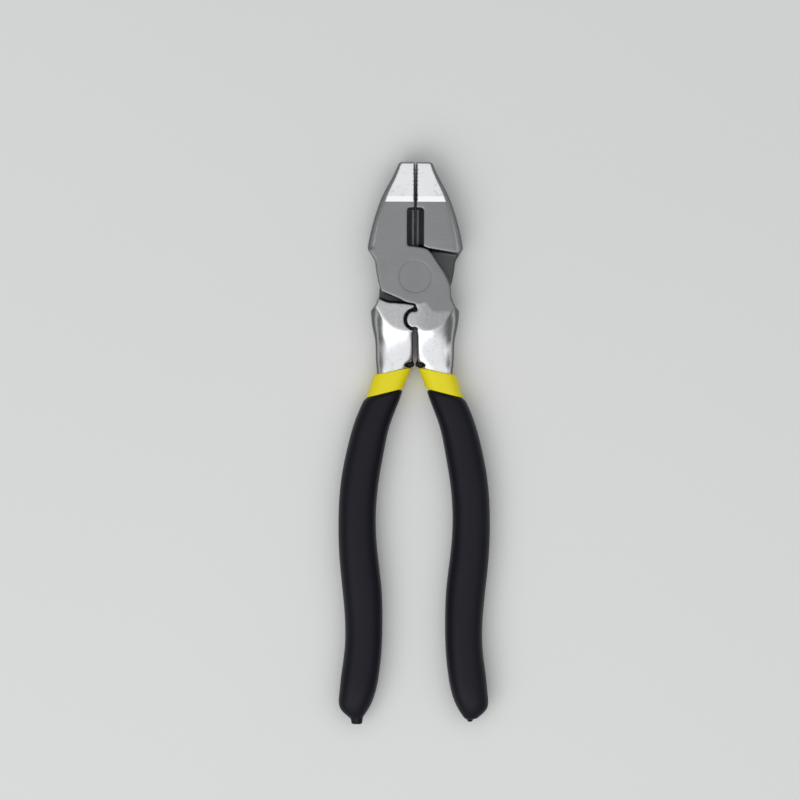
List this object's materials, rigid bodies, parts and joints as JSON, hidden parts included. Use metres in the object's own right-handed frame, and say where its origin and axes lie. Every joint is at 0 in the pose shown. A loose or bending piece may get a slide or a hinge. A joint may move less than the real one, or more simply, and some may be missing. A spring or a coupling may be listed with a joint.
{
  "type": "lineman pliers",
  "caption": "Heavy lineman pliers with serrated nose, side knives, crimp die below a flush riveted lap joint, and curved two-layer dipped grips with yellow collars.",
  "frame": {"origin": "where the pivot axis meets the flat back face of the head, which the tool rests on", "axes": "+Y along the tool towards the nose, +Z out of the front face along the pivot axis, +X to the right seen from the front"},
  "size_m": [0.0652, 0.2413, 0.0158],
  "materials": {
    "forged_steel": "ground satin flats, polished nose bevels and necks",
    "rivet_steel": "ground flush with the head",
    "inner_grip": "yellow vinyl, satin",
    "outer_grip": "black vinyl, soft satin with fine grain"
  },
  "bodies": {
    "rear_half": {"rear_lever": "forged_steel", "pivot_rivet": "rivet_steel", "left_grip_core": "inner_grip", "left_grip_sleeve": "outer_grip"},
    "front_half": {"front_lever": "forged_steel", "right_grip_core": "inner_grip", "right_grip_sleeve": "outer_grip"}
  },
  "joints": [
    {"name": "pivot", "type": "hinge", "parent": "rear_half", "child": "front_half", "pos_m": [0, 0, 0.0079], "axis": [0, 0, 1], "range_deg": [0, 18]}
  ]
}
